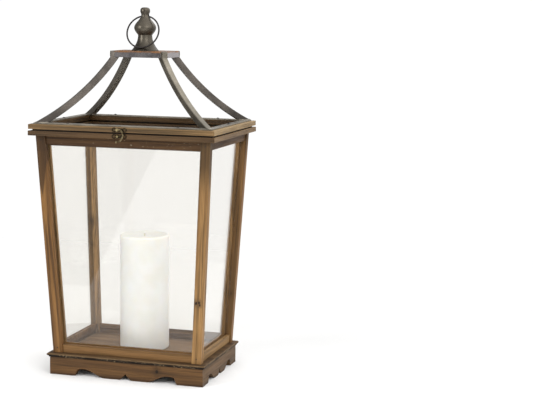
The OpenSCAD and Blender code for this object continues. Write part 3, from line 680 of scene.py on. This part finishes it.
def weld_feet_and_heads():
    """Weld beads where the bars stand on the flat frame and where their heads join the cap."""
    steel = old_iron("iron_weld", srgb(120, 113, 102), srgb(176, 170, 158), (0.3, 0.42), seed=9.0)
    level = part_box("roof_base_frame")[1].z
    cap_lo, cap_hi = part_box("roof_cap")
    # a foot's outer sides, near the edge of the flat frame, and its short sides have no bead
    outer_x, outer_y = abs(cad_box[1][0]) - 11 * MM, abs(cad_box[1][1]) - 14 * MM
    shortest = 5 * MM
    for name in BARS:
        side_x = 1 if name.endswith("right") else -1
        side_y = -1 if "front" in name else 1
        corners = [Vector((px, py, level + 0.2 * MM)) for px, py in footprint(name, level)]
        bm = bmesh.new()
        for a, b in zip(corners, corners[1:] + corners[:1]):
            middle = (a + b) / 2
            outermost = abs(middle.x) > outer_x or abs(middle.y) > outer_y
            if (b - a).length > shortest and not outermost:
                bead_run(bm, a, b, 0.95 * MM)
        head = footprint(name, cap_hi.z)
        on_front = max(head, key=lambda p: abs(p[1]))
        on_side = max(head, key=lambda p: abs(p[0]))
        # the front seam is where the head's inner face comes out of the cap's front
        slope = (abs(on_side[0]) - abs(on_front[0])) / (abs(on_front[1]) - abs(on_side[1]))
        out = abs(on_front[1]) - cap_hi.y
        x_front = side_x * (abs(on_front[0]) - max(out, 0) / slope)
        front_seam = (x_front, side_y * (cap_hi.y + 0.1 * MM))
        side_seam = (side_x * (cap_hi.x + 0.1 * MM), on_side[1])
        for px, py in (front_seam, side_seam):
            low_end = Vector((px, py, cap_lo.z + 0.5 * MM))
            high_end = Vector((px, py, cap_hi.z - 0.6 * MM))
            bead_run(bm, low_end, high_end, 0.8 * MM)
        new_piece("weld_" + name[9:], bm, "lid", steel)


# Bevel widths in millimetres, by the start of a piece's name
BEVELS = {
    "post_front": 0.8, "post_back": 0.8, "lower_rail": 0.7, "upper_rail": 0.7, "rim": 1.0,
    "lid_front": 1.0, "lid_back": 1.0, "lid_left": 1.0, "lid_right": 1.0, "skirt": 0.9,
    "roof_base": 0.5, "roof_cap": 0.5, "lower_beads": 0.6, "upper_beads": 0.6, "corner_beads": 0.6,
    "latch_lid_plate": 0.25, "latch_keeper_plate": 0.25, "corner_blocks": 0.8,
}


def soften_edges():
    """Rounds the sharp arrises of the wooden pieces, the flat iron and the latch plates with real bevels."""
    for name, obj in nodes.items():
        width = next((w for start, w in BEVELS.items() if name.startswith(start)), None)
        if width is None:
            continue
        weld = obj.modifiers.new("weld", "WELD")
        weld.merge_threshold = 0.01 * MM
        bevel = obj.modifiers.new("bevel", "BEVEL")
        bevel.width = width * MM
        bevel.segments = 3
        bevel.limit_method = "ANGLE"
        bevel.angle_limit = math.radians(32)
        bevel.use_clamp_overlap = True
        bevel.harden_normals = True


# ---------------------------------------------------------------- stage, lights, camera

BRIGHT_SIDE = Vector((0.55, -0.05, 0.83)).normalized()
BACK_SIDE = Vector((0.1, 1.0, -0.05)).normalized()
BACKDROP = 1.03  # strength of the white that the camera sees behind everything
FLOOR_TONE = (0.83, 0.83, 0.827)
# Painted shade: the floor's tone is painted darker behind the lantern
FLOOR_BEHIND = 0.89  # how much of that tone is left behind the lantern
FLOOR_FADE = (0.4, 2.0)  # the sheet melts into the backdrop between these distances
# Corners of the pale floor sheet; its cut-back front-left corner is what the front pane mirrors
FLOOR_SHEET = [(-7, -0.60), (-0.325, -0.655), (-0.81, -2.5), (5, -2.5), (5, 9), (-7, 9)]


def studio_world():
    """A white backdrop, and a soft sky that is bright above and to the right, glows behind the lantern
    and is dim elsewhere."""
    world = bpy.data.worlds.new("studio")
    bpy.context.scene.world = world
    world.use_nodes = True
    n = Nodes(world.node_tree)
    way = n.add("ShaderNodeTexCoord").outputs["Generated"]
    sky = n.step(n.vector("DOT_PRODUCT", way, tuple(BRIGHT_SIDE)), -0.02, 1.0, 0.3, 1.8)
    sky = n.math("MAXIMUM", sky, n.step(n.vector("DOT_PRODUCT", way, tuple(BACK_SIDE)), 0.72, 0.93, 0.0, 1.0))
    seen = n.add("ShaderNodeLightPath").outputs["Is Camera Ray"]
    strength = n.math("ADD", n.math("MULTIPLY", seen, BACKDROP),
                      n.math("MULTIPLY", n.math("SUBTRACT", 1.0, seen), sky))
    background = world.node_tree.nodes["Background"]
    background.inputs["Color"].default_value = (1, 1, 1, 1)
    n.link(strength, background.inputs["Strength"])


def softbox(name, place, aim, size, power):
    """A soft rectangular lamp that points at aim and that the camera doesn't see; power is in watts."""
    data = bpy.data.lights.new(name, "AREA")
    data.shape, data.size, data.size_y, data.energy = "RECTANGLE", size[0], size[1], power
    lamp = bpy.data.objects.new(name, data)
    bpy.context.scene.collection.objects.link(lamp)
    lamp.location = place
    lamp.rotation_euler = (Vector(aim) - Vector(place)).to_track_quat("-Z", "Y").to_euler()
    lamp.visible_camera = False


def floor_sheet():
    """The pale sheet under the lantern, painted a little darker behind it as shade, which fades into the
    backdrop behind it and at its sides.
    """
    bm = bmesh.new()
    bm.faces.new([bm.verts.new((x, y, 0)) for x, y in FLOOR_SHEET])
    mesh = bpy.data.meshes.new("studio_floor")
    bm.to_mesh(mesh)
    bm.free()
    floor = bpy.data.objects.new("studio_floor", mesh)
    bpy.context.scene.collection.objects.link(floor)
    s = Shader("studio_floor")
    grain = s.noise(s.coords, 300, 2)
    x, y, _ = s.split(s.coords)
    far = s.math("MAXIMUM", s.step(y, *FLOOR_FADE), s.step(s.math("ABSOLUTE", x), *FLOOR_FADE))
    s.link(s.math("SUBTRACT", 1.0, far), s.bsdf.inputs["Alpha"])
    s.bsdf.inputs["Specular IOR Level"].default_value = 0.0
    # painted shade: the sheet's tone is darker behind the lantern
    tone = s.mix(s.step(y, 0.0, 0.4), FLOOR_TONE, scaled(FLOOR_TONE, FLOOR_BEHIND))
    floor.data.materials.append(s.finish(tone, s.step(grain, 0.3, 0.7, 0.7, 0.8)))


def studio():
    """The backdrop, the floor sheet and four soft lamps."""
    bpy.context.scene.view_settings.view_transform = "Standard"
    studio_world()
    floor_sheet()
    softbox("key_softbox", (1.7, -1.9, 1.9), (0, 0, 0.35), (1.2, 1.2), 16)
    softbox("strip_softbox", (-1.7, -2.1, 1.3), (0, 0, 0.35), (0.5, 1.4), 36)
    softbox("fill_softbox", (1.0, -1.9, 0.35), (0, 0, 0.45), (0.8, 0.5), 3)
    softbox("back_softbox", (0.4, 2.0, 2.0), (0, 0, 0.4), (1.8, 1.0), 6)


def camera():
    """Three-quarter view from the front right, level with the finial's top, through a long lens."""
    data = bpy.data.cameras.new("camera")
    data.sensor_width = 36
    data.lens = 94.96
    data.clip_start, data.clip_end = 0.05, 100
    cam = bpy.data.objects.new("camera", data)
    bpy.context.scene.collection.objects.link(cam)
    # where the camera stands, round the lantern's axis, and then where it looks
    round_by, away, height = math.radians(20.94), 2.8807, 0.7536
    heading, down, roll = math.radians(15.95), math.radians(7.86), math.radians(0.78)
    turn = (Matrix.Rotation(heading, 4, "Z") @ Matrix.Rotation(math.pi / 2 - down, 4, "X")
            @ Matrix.Rotation(roll, 4, "Z"))
    place = Matrix.Translation((away * math.sin(round_by), -away * math.cos(round_by), height))
    cam.matrix_world = place @ turn
    bpy.context.scene.camera = cam


camera()
studio()
paint_wood()
paint_metal()
for pane in ("glass_front", "glass_back", "glass_left", "glass_right"):
    dress(pane, glass("clear_" + pane))
dress("candle", wax("wax_ivory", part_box("candle")[0].z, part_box("candle")[1].z))
dress("candle_wick", cotton("cotton_wick"))
weld_feet_and_heads()
soften_edges()
